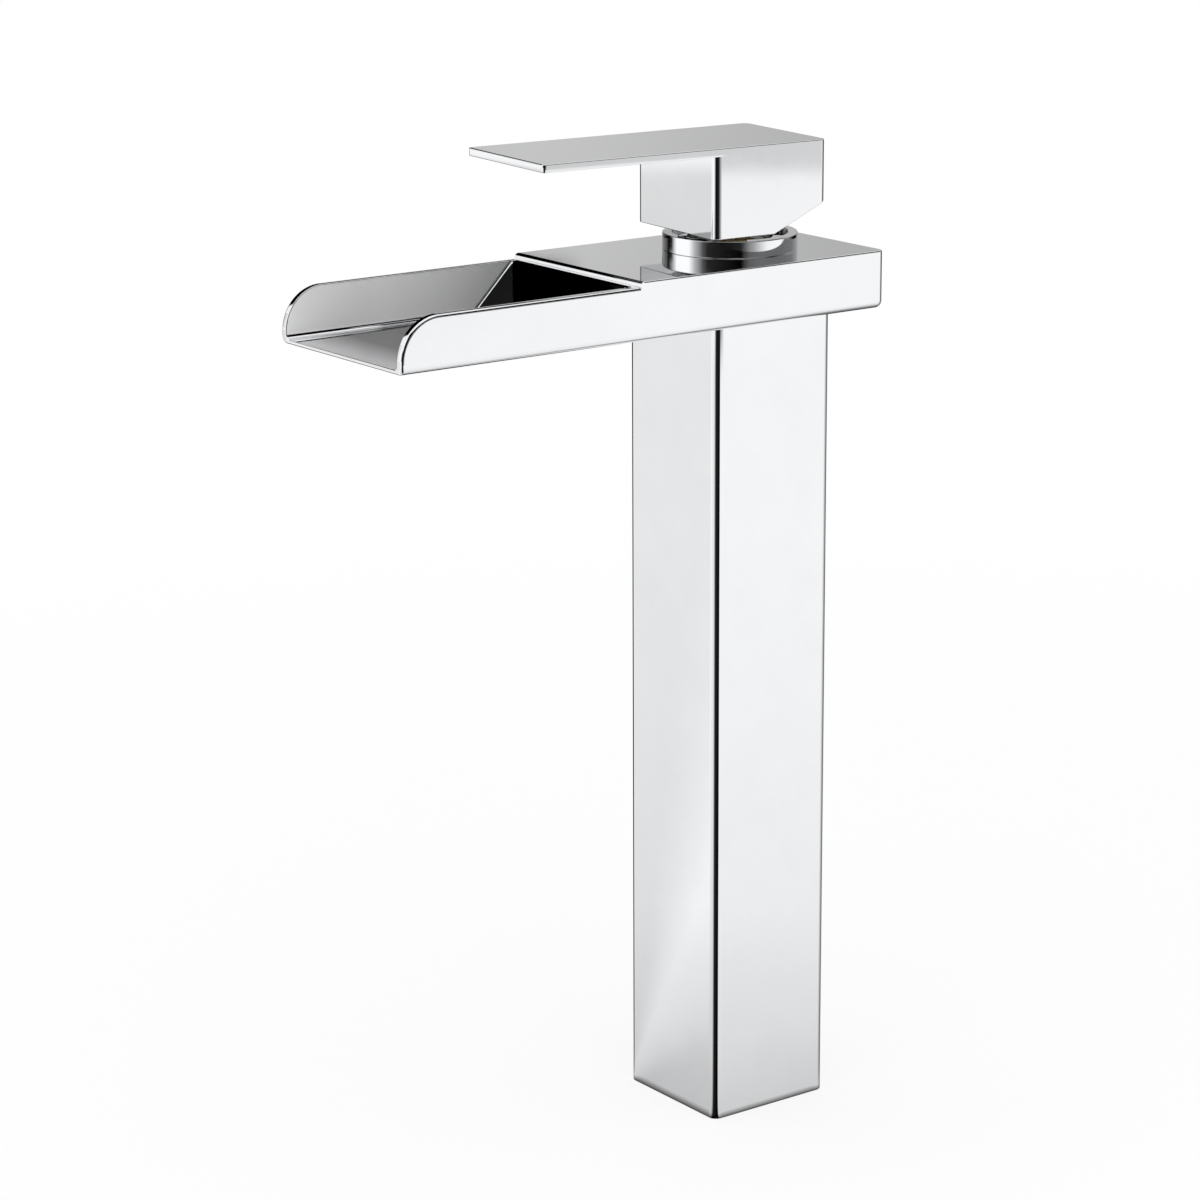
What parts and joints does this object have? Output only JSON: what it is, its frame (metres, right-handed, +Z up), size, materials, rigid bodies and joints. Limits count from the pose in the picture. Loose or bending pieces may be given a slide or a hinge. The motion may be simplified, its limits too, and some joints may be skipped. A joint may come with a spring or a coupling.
{
  "type": "basin mixer tap",
  "caption": "Tall square basin mixer tap with a flat box head, an open waterfall trough and one top lever that turns and lifts.",
  "frame": {"origin": "middle of the column's foot, on the deck", "axes": "+Z up along the column, -Y the way the water leaves, +X to the right of someone at the basin"},
  "size_m": [0.067, 0.1853, 0.3233],
  "materials": {
    "polished_chrome": "mirror-polished chrome plate",
    "raw_brass": "machined",
    "seal_rubber": "moulded",
    "cartridge_plastic": "moulded",
    "disc_ceramic": "lapped",
    "pin_steel": "machined",
    "plug_plastic": "glossy"
  },
  "bodies": {
    "body": {"column_shell": "polished_chrome", "foot_plate": "raw_brass", "foot_seal": "seal_rubber", "spout_channel": "polished_chrome", "cover_plate": "polished_chrome", "weir_plate": "polished_chrome", "valve_body": "raw_brass", "cartridge_base": "cartridge_plastic", "hot_port_seal": "seal_rubber", "cold_port_seal": "seal_rubber", "outlet_port_seal": "seal_rubber", "fixed_disc": "disc_ceramic", "cartridge_housing": "cartridge_plastic", "retaining_nut": "polished_chrome", "grip_ring": "seal_rubber", "bonnet_ring": "polished_chrome"},
    "sleeve": {"spindle_sleeve": "cartridge_plastic", "pivot_pin": "pin_steel"},
    "lever": {"handle": "polished_chrome", "spindle": "raw_brass", "set_screw": "pin_steel", "index_plug": "plug_plastic"},
    "upper_disc": {"disc_carrier": "cartridge_plastic", "moving_disc": "disc_ceramic"}
  },
  "joints": [
    {"name": "temperature_turn", "type": "hinge", "parent": "body", "child": "sleeve", "pos_m": [0, 0, 0.2862], "axis": [0, 0, 1], "range_deg": [-45.7, 54.3]},
    {"name": "flow_lift", "type": "hinge", "parent": "sleeve", "child": "lever", "pos_m": [0, 0, 0.2862], "axis": [-0.9972, 0.075, 0], "range_deg": [0, 24]},
    {"name": "disc_slide", "type": "slide", "parent": "sleeve", "child": "upper_disc", "axis": [-0.075, -0.9972, 0], "range_m": [0, 0.0036]}
  ],
  "couplings": [
    {"joint": "disc_slide", "follows": "flow_lift", "m_per_rad": 0.0081}
  ]
}
